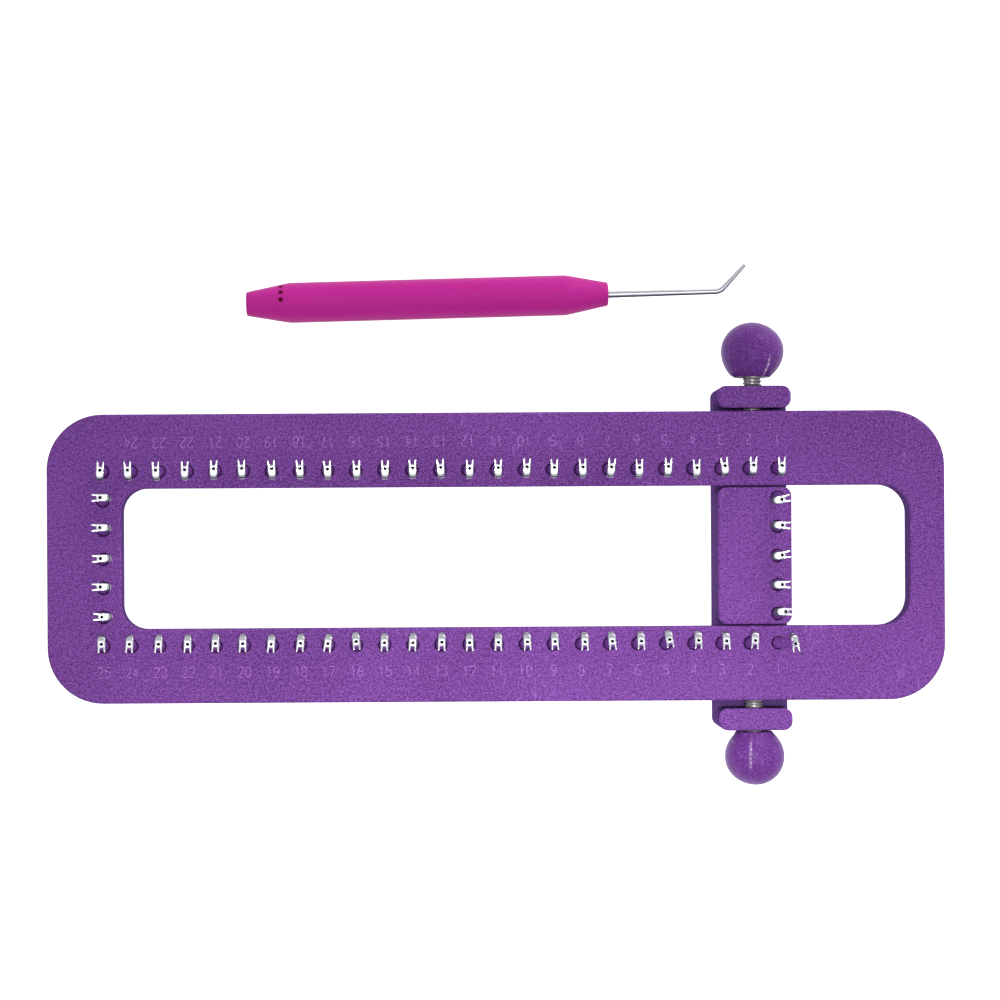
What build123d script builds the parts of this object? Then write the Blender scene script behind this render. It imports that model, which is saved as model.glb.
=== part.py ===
from build123d import *

import math
import os

# An adjustable knitting loom: a long moulded frame with pins round its window, a slider that
# wraps the two rails and sets how much of the window is knitted on, two ball-headed clamp
# screws that lock the slider, and the hand pick that lifts the loops over the pins.
# +X runs along the rails towards the slider's end, +Y to the rear rail, +Z up.
# The origin is the centre of the whole set's footprint, on the surface that it stands on.

# ---- Pins: sizes in millimetres, angles in degrees ----
GAUGE = 9.525                  # pin to pin along a rail, 3/8 in
PINS_PER_ROW = 25
PINS_PER_END = 5               # on the left end bar, and again on the slider
PINS_PER_GROUP = 5
PIN_INSET = 19.3               # frame's left edge to pin 25
PIN_SETBACK = 5.85             # window's edge to a row of pins
PEG_BASE_R = 1.85
PEG_TOP_R = 1.45
PEG_HEIGHT = 8.5
PEG_TOP_ROUND = 0.3
PEG_STUB = 6.0                 # length seated in the moulding
PEG_FIT = 0.02                 # radial gap round a seated stub
PEG_RELIEF_GAP = 0.45          # radial gap at the mouth of the hole
PEG_RELIEF_DEPTH = 1.0
BENT_PEG = 1                   # the pin of the front row that leans over
BENT_PEG_TILT = 32.0

# ---- Steel clip on each peg ----
CLIP_WIDTH = 2.5
CLIP_INNER_REACH = 2.6         # peg's axis to the clip's rounded inner end
CLIP_OUTER_REACH = 2.9         # peg's axis to the prong tips
CLIP_NOTCH_FROM = 1.0          # peg's axis to the root of the notch
CLIP_SHEET = 0.45
CLIP_EYE_R = 0.45              # round the peg's axis
CLIP_FLANGE_DEPTH = 1.5
CLIP_FLANGE_GAP = 0.15         # between the turned-down end and the peg
PRONG_ROOT_WIDTH = 0.7
PRONG_TIP_WIDTH = 0.4
PRONG_SPLAY = 0.15
TANG_R = 0.3
TANG_LENGTH = 2.5
TANG_AT = -0.85
TANG_FIT = 0.02

# ---- Frame ----
WINDOW_WIDTH = 47.5
RAIL_WIDTH = 25.4
LEFT_BAR = 25.4
RIGHT_BAR = 12.0
FREE_END = 56.9                # pin 1 to the frame's right edge
FRAME_THICKNESS = 9.5
FRAME_CORNER_R = 19.0
WINDOW_LEFT_R = 8.0
WINDOW_RIGHT_R = 9.5
FRAME_EDGE_ROUND = 1.0
WINDOW_EDGE_ROUND = 0.8
MOULD_DRAFT = 1.5

# ---- Slider ----
SLIDER_WIDTH = 25.0            # along the rails, at its top face
SLIDER_PIN_OFFSET = 7.6        # slider's middle to its own line of pins
BAR_THICKNESS = 10.0           # the bar that passes under both rails
END_BLOCK = 7.5                # the upright outside each rail
SLIDE_CLEARANCE = 0.5          # window's wall to the centre block, and rail to the bar below
REAR_GAP = 1.0                 # rear rail to the rear upright
FRONT_GAP = 2.7                # front rail to the front upright
SLIDER_CORNER_R = 3.0
SLIDER_DRAFT = 0.5             # the whole slider narrows downward
SLIDER_EDGE_ROUND = 0.7
SLIDER_FOOT_ROUND = 1.0

# ---- Clamp screws: 1/4-20 threaded rod with a ball knob ----
ROD_D = 6.35
ROD_LENGTH = 19.05
ROD_CHAMFER = 0.5
ROD_FIT = 0.05                 # radial gap in the upright and in the knob
ROD_TIP_GAP = 0.05             # rod's tip to the rail's edge when clamped
KNOB_D = 20.6
KNOB_FLAT = 8.3                # ball's centre to its flat face
REAR_KNOB_GAP = 3.2            # rear upright to the rear knob's flat
FRONT_KNOB_GAP = 0.6           # front upright to the front knob's flat
KNOB_SOCKET_END_GAP = 0.3

# ---- Pick tool, lying behind the loom ----
HANDLE_LENGTH = 124.7
HANDLE_D = 13.8
HANDLE_BACK_D = 8.2
HANDLE_NOSE_D = 8.0
HANDLE_BACK_TAPER = 14.9
HANDLE_NOSE_TAPER = 14.6
HANDLE_END_ROUND = 0.4
DIMPLE_COUNT = 3
DIMPLE_R = 0.85
DIMPLE_DEPTH = 1.2
DIMPLE_FROM_BACK = 12.1
DIMPLE_SPREAD = 25.6           # angle between neighbouring dimples
DIMPLE_MIDDLE = 30.2           # angle of the middle dimple from straight up, towards the rear
SHAFT_ROOT_R = 1.3
SHAFT_BEND_R = 1.05
SHAFT_TIP_R = 0.65
SHAFT_STRAIGHT = 37.1          # handle's nose to the start of the bend
SHAFT_BEND_RADIUS = 4.0
SHAFT_BEND_ANGLE = 45.5
SHAFT_TIP_LENGTH = 11.2
SHAFT_SEAT = 20.0              # length held in the handle
SHAFT_FIT = 0.02
PICK_BACK = (-85.1, 87.75)     # handle's back end, from the middle of the loom
PICK_TURN = 1.25               # handle's angle to the rails

# ---- Levels and places worked out from them ----
FRAME_BOTTOM = BAR_THICKNESS + SLIDE_CLEARANCE
DECK = FRAME_BOTTOM + FRAME_THICKNESS            # top of the frame and of the slider
ROD_Z = FRAME_BOTTOM + FRAME_THICKNESS / 2
FRAME_LENGTH = PIN_INSET + (PINS_PER_ROW - 1) * GAUGE + FREE_END
FRAME_WIDTH = WINDOW_WIDTH + 2 * RAIL_WIDTH
WINDOW_LENGTH = FRAME_LENGTH - LEFT_BAR - RIGHT_BAR
WINDOW_X = (LEFT_BAR - RIGHT_BAR) / 2
PIN_ROW = WINDOW_WIDTH / 2 + PIN_SETBACK
END_PIN_PITCH = 2 * PIN_ROW / (PINS_PER_END + 1)
SLIDER_X = FRAME_LENGTH / 2 - FREE_END - SLIDER_PIN_OFFSET
REAR_UPRIGHT = FRAME_WIDTH / 2 + REAR_GAP
FRONT_UPRIGHT = FRAME_WIDTH / 2 + FRONT_GAP
ROD_TIP = FRAME_WIDTH / 2 + ROD_TIP_GAP
REAR_KNOB_FLAT = REAR_UPRIGHT + END_BLOCK + REAR_KNOB_GAP
FRONT_KNOB_FLAT = FRONT_UPRIGHT + END_BLOCK + FRONT_KNOB_GAP


def pick_tip_reach():
    """How far the pick's tip stands to the rear of the loom's centre line."""
    along = HANDLE_LENGTH + SHAFT_STRAIGHT
    turn = math.radians(PICK_TURN)
    bend = math.radians(SHAFT_BEND_ANGLE)
    straight = along * math.sin(turn)
    elbow = SHAFT_BEND_RADIUS * (math.cos(turn) - math.cos(turn + bend))
    tip = SHAFT_TIP_LENGTH * math.sin(turn + bend)
    return PICK_BACK[1] + straight + elbow + tip + SHAFT_TIP_R * math.cos(turn + bend)


# The loom's centre line in the finished frame, so that the footprint is centred on the origin.
FRONT_REACH = FRONT_KNOB_FLAT + KNOB_FLAT + KNOB_D / 2
CENTRE_LINE_Y = (FRONT_REACH - pick_tip_reach()) / 2


def drafted(profile, z_top, height, draft):
    """Extrude a plan profile down from z_top; a positive draft narrows it downward."""
    return extrude(Pos(0, 0, z_top) * profile, amount=-height, taper=draft)


def edges_at(solid, z, tolerance=0.01):
    """The edges that lie wholly at height z."""
    return solid.edges().filter_by(
        lambda edge: abs(edge.bounding_box().min.Z - z) < tolerance
        and abs(edge.bounding_box().max.Z - z) < tolerance
    )


# ---------------------------------------------------------------- pins

def peg_hole():
    """The seat of a peg, cut down from the deck, with a wider relief at its mouth."""
    seat = Pos(0, 0, -PEG_STUB / 2) * Cylinder(PEG_BASE_R + PEG_FIT, PEG_STUB)
    relief_r = PEG_BASE_R + PEG_RELIEF_GAP
    relief = Pos(0, 0, -PEG_RELIEF_DEPTH / 2) * Cylinder(relief_r, PEG_RELIEF_DEPTH)
    return seat + relief


def peg(outward, tilt=0.0):
    """A tapered post on a straight stub, with a slot for the clip's tang in its top."""
    stub = Pos(0, 0, -PEG_STUB / 2) * Cylinder(PEG_BASE_R, PEG_STUB)
    post = Pos(0, 0, PEG_HEIGHT / 2) * Cone(PEG_BASE_R, PEG_TOP_R, PEG_HEIGHT)
    post = fillet(edges_at(post, PEG_HEIGHT), PEG_TOP_ROUND)
    tang = Cylinder(TANG_R + TANG_FIT, TANG_LENGTH, align=(Align.CENTER, Align.CENTER, Align.MAX))
    post -= Pos(0, 0, PEG_HEIGHT) * Rot(0, 0, outward) * Pos(TANG_AT, 0, 0) * tang
    if tilt:
        post = Rot(0, tilt, 0) * post + Sphere(PEG_BASE_R)
    return stub + post


def prong(side):
    """One of the two tapering prongs left by the notch."""
    outer = CLIP_WIDTH / 2
    root = CLIP_NOTCH_FROM - CLIP_SHEET / 2
    tip = outer + PRONG_SPLAY
    points = [
        (root, side * outer),
        (CLIP_OUTER_REACH, side * tip),
        (CLIP_OUTER_REACH, side * (tip - PRONG_TIP_WIDTH)),
        (root, side * (outer - PRONG_ROOT_WIDTH)),
    ]
    return make_face(Polyline(*points, close=True))


def clip():
    """A formed steel clip, its underside at z = 0 and its prongs towards +X."""
    half = CLIP_WIDTH / 2
    round_x = half - CLIP_INNER_REACH
    body_length = CLIP_NOTCH_FROM - round_x
    plan = Pos(round_x, 0) * Circle(half)
    plan += Pos(round_x + body_length / 2, 0) * Rectangle(body_length, CLIP_WIDTH)
    plan += prong(1) + prong(-1)
    plan -= Circle(CLIP_EYE_R)
    plate = extrude(plan, amount=CLIP_SHEET)
    ring = Pos(round_x, 0) * (Circle(half) - Circle(half - CLIP_SHEET))
    keep = CLIP_INNER_REACH - (PEG_BASE_R + CLIP_FLANGE_GAP) + CLIP_SHEET
    ring &= Pos(-CLIP_INNER_REACH + keep / 2, 0) * Rectangle(keep, CLIP_WIDTH)
    flange = extrude(ring, amount=-CLIP_FLANGE_DEPTH)
    tang = Cylinder(TANG_R, TANG_LENGTH, align=(Align.CENTER, Align.CENTER, Align.MAX))
    return plate + flange + Pos(TANG_AT, 0, 0) * tang


def pin_x(number):
    """Place of a numbered pin along the rails; pin 1 is nearest the slider's end."""
    return -FRAME_LENGTH / 2 + PIN_INSET + (PINS_PER_ROW - number) * GAUGE


def end_pin_ys():
    """Places of the pins of an end column, evenly between the two rows."""
    middle = (PINS_PER_END + 1) / 2
    return [(place - middle) * END_PIN_PITCH for place in range(1, PINS_PER_END + 1)]


def pin_groups():
    """Each group's name and its pins, as x, y, outward angle and tilt."""
    groups = {}
    for row, side, outward in (("rear", 1, 90), ("front", -1, -90)):
        for first in range(1, PINS_PER_ROW + 1, PINS_PER_GROUP):
            last = min(first + PINS_PER_GROUP - 1, PINS_PER_ROW)
            pins = []
            for number in range(first, last + 1):
                bent = row == "front" and number == BENT_PEG
                pins.append((pin_x(number), side * PIN_ROW, outward, BENT_PEG_TILT if bent else 0.0))
            groups[f"{row}_{{}}_{first}_to_{last}"] = pins
    left_x = -FRAME_LENGTH / 2 + PIN_INSET
    groups["left_end_{}"] = [(left_x, y, 180, 0.0) for y in end_pin_ys()]
    groups["slider_{}"] = [(SLIDER_X + SLIDER_PIN_OFFSET, y, 0, 0.0) for y in end_pin_ys()]
    return groups


def peg_set(pins):
    return [Pos(x, y, DECK) * peg(outward, tilt) for x, y, outward, tilt in pins]


def clip_set(pins):
    seated = Pos(0, 0, PEG_HEIGHT)
    return [
        Pos(x, y, DECK) * Rot(0, tilt, 0) * seated * Rot(0, 0, outward) * clip()
        for x, y, outward, tilt in pins
    ]


def drill(solid, pins):
    """Cut a seat for each peg."""
    for x, y, _, _ in pins:
        solid -= Pos(x, y, DECK) * peg_hole()
    return solid


# ---------------------------------------------------------------- frame

def window_profile():
    """The window's plan: a rectangle with its own corner radius at each end."""
    plan = Rectangle(WINDOW_LENGTH, WINDOW_WIDTH)
    plan = fillet(plan.vertices().group_by(Axis.X)[0], WINDOW_LEFT_R)
    return Pos(WINDOW_X, 0) * fillet(plan.vertices().group_by(Axis.X)[-1], WINDOW_RIGHT_R)


def make_frame(groups):
    """One moulding: two rails and two end bars round the window."""
    plan = RectangleRounded(FRAME_LENGTH, FRAME_WIDTH, FRAME_CORNER_R)
    solid = drafted(plan, DECK, FRAME_THICKNESS, MOULD_DRAFT)
    solid = fillet(edges_at(solid, DECK) + edges_at(solid, FRAME_BOTTOM), FRAME_EDGE_ROUND)
    window = drafted(window_profile(), DECK, FRAME_THICKNESS, -MOULD_DRAFT)
    solid -= window
    rims = [
        edge
        for edge in edges_at(solid, DECK) + edges_at(solid, FRAME_BOTTOM)
        if abs(edge.center().Y) < FRAME_WIDTH / 2 - RAIL_WIDTH / 2
        and -FRAME_LENGTH / 2 + LEFT_BAR / 2 < edge.center().X < FRAME_LENGTH / 2 - RIGHT_BAR / 2
    ]
    solid = fillet(rims, WINDOW_EDGE_ROUND)
    for name, pins in groups.items():
        if not name.startswith("slider"):
            solid = drill(solid, pins)
    return solid


# ---------------------------------------------------------------- slider

def rail_channel(inner_y, outer_y):
    """The slot that a rail runs through, open at both ends and at the top."""
    width = abs(outer_y - inner_y)
    length = 2 * SLIDER_WIDTH
    box = Box(length, width, FRAME_THICKNESS * 2, align=(Align.CENTER, Align.CENTER, Align.MIN))
    return Pos(0, (inner_y + outer_y) / 2, BAR_THICKNESS) * box


def rod_bore(side, upright):
    """The clamp screw's hole through an upright."""
    cutter = Rot(90, 0, 0) * Cylinder(ROD_D / 2 + ROD_FIT, END_BLOCK * 2)
    return Pos(0, side * (upright + END_BLOCK / 2), ROD_Z) * cutter


def make_slider(groups):
    """One moulding: a centre block in the window, a bar under it, and an upright each side."""
    rear = REAR_UPRIGHT + END_BLOCK
    front = FRONT_UPRIGHT + END_BLOCK
    plan = Pos(0, (rear - front) / 2) * RectangleRounded(SLIDER_WIDTH, rear + front, SLIDER_CORNER_R)
    solid = drafted(plan, DECK, DECK, SLIDER_DRAFT)
    solid = fillet(edges_at(solid, 0), SLIDER_FOOT_ROUND)
    block = WINDOW_WIDTH / 2 - SLIDE_CLEARANCE
    solid -= rail_channel(block, REAR_UPRIGHT)
    solid -= rail_channel(-block, -FRONT_UPRIGHT)
    walls = (block, -block, REAR_UPRIGHT, -FRONT_UPRIGHT)
    corners = [
        edge
        for edge in solid.edges()
        if edge.bounding_box().size.Z > FRAME_THICKNESS
        and any(abs(edge.center().Y - wall) < SLIDE_CLEARANCE / 2 for wall in walls)
    ]
    solid = fillet(corners, SLIDER_CORNER_R)
    solid = fillet(edges_at(solid, DECK), SLIDER_EDGE_ROUND)
    solid -= rod_bore(1, REAR_UPRIGHT) + rod_bore(-1, FRONT_UPRIGHT)
    return drill(Pos(SLIDER_X, 0, 0) * solid, groups["slider_{}"])


# ---------------------------------------------------------------- clamp screws

def make_rod(side):
    """A length of threaded rod, drawn at its outside diameter, with its tip at the rail."""
    rod = Cylinder(ROD_D / 2, ROD_LENGTH, align=(Align.CENTER, Align.CENTER, Align.MIN))
    rod = chamfer(rod.edges().filter_by(GeomType.CIRCLE), ROD_CHAMFER)
    return Pos(SLIDER_X, side * ROD_TIP, ROD_Z) * Rot(-90 * side, 0, 0) * rod


def make_knob(side, flat_y):
    """A ball with a flat towards the upright and a blind socket for the rod."""
    ball = Sphere(KNOB_D / 2)
    trim = Box(KNOB_D, KNOB_D, KNOB_D, align=(Align.CENTER, Align.CENTER, Align.MAX))
    ball -= Pos(0, 0, -KNOB_FLAT) * trim
    depth = ROD_TIP + ROD_LENGTH - flat_y + KNOB_SOCKET_END_GAP
    socket = Cylinder(ROD_D / 2 + ROD_FIT, depth, align=(Align.CENTER, Align.CENTER, Align.MIN))
    ball -= Pos(0, 0, -KNOB_FLAT) * socket
    return Pos(SLIDER_X, side * (flat_y + KNOB_FLAT), ROD_Z) * Rot(-90 * side, 0, 0) * ball


# ---------------------------------------------------------------- pick tool

def pick_place():
    """The pick's own frame: along +X from the handle's back end, at half the handle's height."""
    return Pos(PICK_BACK[0], PICK_BACK[1], HANDLE_D / 2) * Rot(0, 0, PICK_TURN)


def make_handle():
    """A turned grip: a long barrel that tapers to a flat back end and to the nose."""
    barrel = HANDLE_D / 2
    profile = make_face(Polyline(
        (0, 0),
        (0, HANDLE_BACK_D / 2),
        (HANDLE_BACK_TAPER, barrel),
        (HANDLE_LENGTH - HANDLE_NOSE_TAPER, barrel),
        (HANDLE_LENGTH, HANDLE_NOSE_D / 2),
        (HANDLE_LENGTH, 0),
        close=True,
    ))
    grip = revolve(profile, Axis.X)
    ends = [
        edge for edge in grip.edges().filter_by(GeomType.CIRCLE)
        if edge.center().X < HANDLE_END_ROUND or edge.center().X > HANDLE_LENGTH - HANDLE_END_ROUND
    ]
    grip = fillet(ends, HANDLE_END_ROUND)
    seat = Rot(0, 90, 0) * Cylinder(
        SHAFT_ROOT_R + SHAFT_FIT, SHAFT_SEAT, align=(Align.CENTER, Align.CENTER, Align.MAX)
    )
    grip -= Pos(HANDLE_LENGTH, 0, 0) * seat
    back = HANDLE_BACK_D / 2
    surface_r = back + (barrel - back) * DIMPLE_FROM_BACK / HANDLE_BACK_TAPER
    for place in range(DIMPLE_COUNT):
        turn = DIMPLE_MIDDLE + (place - (DIMPLE_COUNT - 1) / 2) * DIMPLE_SPREAD
        drill_bit = Cylinder(DIMPLE_R, DIMPLE_DEPTH * 2)
        grip -= Rot(-turn, 0, 0) * Pos(DIMPLE_FROM_BACK, 0, surface_r) * drill_bit
    return pick_place() * grip


def make_pick_shaft():
    """A tapered steel shaft, bent near its end and drawn down to a blunt tip."""
    lying = Rot(0, 90, 0)
    seat = lying * Cylinder(SHAFT_ROOT_R, SHAFT_SEAT, align=(Align.CENTER, Align.CENTER, Align.MAX))
    straight = lying * Cone(
        SHAFT_ROOT_R, SHAFT_BEND_R, SHAFT_STRAIGHT, align=(Align.CENTER, Align.CENTER, Align.MIN)
    )
    start = Plane(origin=(SHAFT_STRAIGHT, 0, 0), z_dir=(1, 0, 0))
    centre = Axis((SHAFT_STRAIGHT, SHAFT_BEND_RADIUS, 0), (0, 0, 1))
    elbow = revolve(start * Circle(SHAFT_BEND_R), centre, SHAFT_BEND_ANGLE)
    bend = math.radians(SHAFT_BEND_ANGLE)
    elbow_end = (
        SHAFT_STRAIGHT + SHAFT_BEND_RADIUS * math.sin(bend),
        SHAFT_BEND_RADIUS * (1 - math.cos(bend)),
        0,
    )
    tip = Cone(SHAFT_BEND_R, SHAFT_TIP_R, SHAFT_TIP_LENGTH, align=(Align.CENTER, Align.CENTER, Align.MIN))
    tip = fillet(edges_at(tip, SHAFT_TIP_LENGTH), SHAFT_TIP_R / 2)
    tip = Pos(*elbow_end) * Rot(0, 0, SHAFT_BEND_ANGLE) * lying * tip
    return pick_place() * Pos(HANDLE_LENGTH, 0, 0) * (seat + straight + elbow + tip)


# ---------------------------------------------------------------- write the nodes

def write(name, shape):
    """Move a node from the loom's centre line to the finished frame and write it."""
    solids = shape if isinstance(shape, list) else [shape]
    placed = [Pos(0, CENTRE_LINE_Y, 0) * solid for solid in solids]
    whole = placed[0] if len(placed) == 1 else Compound(children=placed)
    export_step(whole, f"parts/{name}.step")


def main():
    os.makedirs("parts", exist_ok=True)
    groups = pin_groups()
    write("frame", make_frame(groups))
    write("slider", make_slider(groups))
    for pattern, pins in groups.items():
        write(pattern.format("pegs"), peg_set(pins))
        write(pattern.format("clips"), clip_set(pins))
    for row, side, flat_y in (("rear", 1, REAR_KNOB_FLAT), ("front", -1, FRONT_KNOB_FLAT)):
        write(f"{row}_threaded_rod", make_rod(side))
        write(f"{row}_ball_knob", make_knob(side, flat_y))
    write("pick_handle", make_handle())
    write("pick_shaft", make_pick_shaft())
    print("centre line y", round(CENTRE_LINE_Y, 4), "slider x", round(SLIDER_X, 4))
    print("frame", round(FRAME_LENGTH, 3), "x", round(FRAME_WIDTH, 3), "deck z", DECK, "rod z", ROD_Z)


main()
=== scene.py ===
# %% [markdown]
# # A knitting loom and its pick
# The loom is a flat purple moulding with an open window, sixty small pins round it, and a
# slider that two ball-headed screws lock across the rails. The engineering model already
# holds the right shapes and sizes, so this script loads it as a fixed frame and spends its
# effort on what the eye reads: sprung steel clips, turned pegs, rolled threads, cast balls,
# a soft-gripped pick, and a speckled, sanded plastic.

# %% Load the frame
import math

import bmesh
import bpy
import numpy as np
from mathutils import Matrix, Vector


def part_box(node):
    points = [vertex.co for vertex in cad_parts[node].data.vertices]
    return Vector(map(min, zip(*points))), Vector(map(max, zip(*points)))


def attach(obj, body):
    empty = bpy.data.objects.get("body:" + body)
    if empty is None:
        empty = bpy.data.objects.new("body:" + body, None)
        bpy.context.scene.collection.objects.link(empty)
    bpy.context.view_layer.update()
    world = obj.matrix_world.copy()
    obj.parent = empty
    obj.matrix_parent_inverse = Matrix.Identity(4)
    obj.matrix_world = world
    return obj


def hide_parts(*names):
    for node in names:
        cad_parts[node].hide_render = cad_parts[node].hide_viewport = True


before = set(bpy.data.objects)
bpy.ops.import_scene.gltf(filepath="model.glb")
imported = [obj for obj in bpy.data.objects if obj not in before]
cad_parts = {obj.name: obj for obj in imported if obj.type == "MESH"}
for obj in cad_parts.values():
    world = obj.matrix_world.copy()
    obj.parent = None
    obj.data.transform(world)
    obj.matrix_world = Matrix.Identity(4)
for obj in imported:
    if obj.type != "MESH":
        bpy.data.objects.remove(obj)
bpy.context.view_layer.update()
MM = 0.001

# %% [markdown]
# ## Where everything is
# All places are read back from the loaded nodes, so that a new size of loom moves the pieces
# with it. A group of pegs is a straight line of five, so the first and the last peg of its
# box give all five: the seats are the box's ends drawn in by one peg radius.

# %% Read the loom's levels and pin places
frame_low, frame_high = (np.array(corner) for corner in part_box("frame"))
slider_low, slider_high = (np.array(corner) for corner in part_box("slider"))
DECK = frame_high[2]
CENTRE_Y = (frame_low[1] + frame_high[1]) / 2
PEG_RADIUS = 1.85 * MM
PEG_TALL = 8.5 * MM
PINS_PER_ROW = 25
PINS_PER_GROUP = 5


def pin_line(node, along, count=PINS_PER_GROUP):
    """Seats of the pegs of one node: evenly spaced between the ends of its box, on the deck."""
    low, high = (np.array(corner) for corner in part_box(node))
    middle = (low + high) / 2
    seats = np.tile([middle[0], middle[1], DECK], (count, 1))
    seats[:, along] = np.linspace(low[along] + PEG_RADIUS, high[along] - PEG_RADIUS, count)
    return seats


def row_places():
    """Each pin group's node names, its body, the way its prongs point, and its seats."""
    groups = []
    for row, outward in (("rear", 90.0), ("front", -90.0)):
        for first in range(1, PINS_PER_ROW + 1, PINS_PER_GROUP):
            span = f"{first}_to_{first + PINS_PER_GROUP - 1}"
            # the rear row has no bent peg, so its boxes give the spacing of both rows
            seats = pin_line(f"rear_pegs_{span}", 0)
            low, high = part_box(f"{row}_pegs_{span}")
            seats[:, 1] = (low[1] + high[1]) / 2
            groups.append((f"{row}_{{}}_{span}", "loom_frame", outward, seats))
    groups.append(("left_end_{}", "loom_frame", 180.0, pin_line("left_end_pegs", 1)))
    groups.append(("slider_{}", "slider", 0.0, pin_line("slider_pegs", 1)))
    return groups


PIN_GROUPS = row_places()
GAUGE = PIN_GROUPS[0][3][1][0] - PIN_GROUPS[0][3][0][0]
print("deck", round(DECK, 4), "gauge", round(GAUGE, 6), "pin groups", len(PIN_GROUPS))

# %% [markdown]
# ## Making a surface from numbers
# Every new piece is a grid of points. Rows run along the piece and columns run round it, and
# the faces follow from the grid's shape alone, so the maths of the shape stays in one place.
# An end can be closed with a fan of triangles to its middle.

# %% Grids, stamps and pieces
def grid_shape(points, ring=True, closed=False, caps=(True, True)):
    """Points and faces of a grid: quads between neighbours; ring joins the last column to the
    first, closed joins the last row to the first, and each cap is a fan to the end row's mean."""
    rows, columns = points.shape[:2]
    index = np.arange(rows * columns).reshape(rows, columns)
    if ring:
        index = np.concatenate([index, index[:, :1]], axis=1)
    if closed:
        index = np.concatenate([index, index[:1]], axis=0)
    corners = [index[:-1, :-1], index[:-1, 1:], index[1:, 1:], index[1:, :-1]]
    faces = np.stack(corners, axis=-1).reshape(-1, 4).tolist()
    flat = points.reshape(-1, 3)
    if not closed:
        for cap, edge, mean in ((caps[0], index[0][::-1], points[0].mean(0)),
                                (caps[1], index[-1], points[-1].mean(0))):
            if cap:
                hub = np.full(len(edge) - 1, len(flat))
                faces += np.stack([edge[:-1], edge[1:], hub], axis=1).tolist()
                flat = np.vstack([flat, mean])
    return flat, faces


def merge(*shapes):
    """Several shapes as one: points stacked, and face numbers moved up past those before."""
    points, faces = [], []
    for more_points, more_faces in shapes:
        start = sum(len(block) for block in points)
        points.append(more_points)
        faces += [[corner + start for corner in face] for face in more_faces]
    return np.vstack(points), faces


def turn(axis, angle):
    """Rotation matrix about a main axis: cosines and sines of the angle in its plane."""
    first, second = [(1, 2), (2, 0), (0, 1)]["xyz".index(axis)]
    matrix = np.eye(3)
    matrix[first, first] = matrix[second, second] = math.cos(angle)
    matrix[first, second] = -math.sin(angle)
    matrix[second, first] = math.sin(angle)
    return matrix


def moved(shape, rotation, place):
    """A shape turned about the origin and then carried to its place."""
    points, faces = shape
    return points @ np.asarray(rotation).T + np.asarray(place), faces


def make_piece(name, shape, material, body, stands_for=()):
    """One object in the row frame, its faces turned outwards, riding on a body."""
    points, faces = shape
    mesh = bpy.data.meshes.new(name)
    mesh.from_pydata(points.tolist(), [], faces)
    shell = bmesh.new()
    shell.from_mesh(mesh)
    bmesh.ops.recalc_face_normals(shell, faces=shell.faces)
    shell.to_mesh(mesh)
    shell.free()
    mesh.polygons.foreach_set("use_smooth", np.full(len(mesh.polygons), True))
    mesh.materials.append(material)
    piece = bpy.data.objects.new(name, mesh)
    bpy.context.scene.collection.objects.link(piece)
    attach(piece, body)
    if stands_for:
        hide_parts(*stands_for)
    print(f"{name}: {len(points)} points, {len(faces)} faces")
    return piece


def mark(piece, name, values):
    """Store one number a point on a piece, for its finish to read."""
    piece.data.attributes.new(name, "FLOAT", "POINT").data.foreach_set("value", values)


# %% [markdown]
# ## Shader sums written as Python
# A material here is mostly arithmetic on noise: masks, thresholds and blends. The class wraps
# a node's output so that + - * / and ** add the Math nodes, + - and * in either order, and
# the finish has one method for every other node.

# %% The shader toolkit
class Sum:
    """A number that varies over a surface; Python's operators build its Math nodes."""

    def __init__(self, finish, socket):
        self.finish = finish
        self.socket = socket

    def _math(self, operation, first, second=None):
        inputs = {0: first} if second is None else {0: first, 1: second}
        return self.finish.add("ShaderNodeMath", {"operation": operation}, inputs)

    def __add__(self, other):
        return self._math("ADD", self, other)

    __radd__ = __add__

    def __sub__(self, other):
        return self._math("SUBTRACT", self, other)

    def __rsub__(self, other):
        return self._math("SUBTRACT", other, self)

    def __mul__(self, other):
        return self._math("MULTIPLY", self, other)

    __rmul__ = __mul__

    def __truediv__(self, other):
        return self._math("DIVIDE", self, other)

    def __pow__(self, other):
        return self._math("POWER", self, other)

    def size(self):
        """The number without its sign."""
        return self._math("ABSOLUTE", self)

    def below(self, other):
        """The lesser of the two."""
        return self._math("MINIMUM", self, other)


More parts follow.
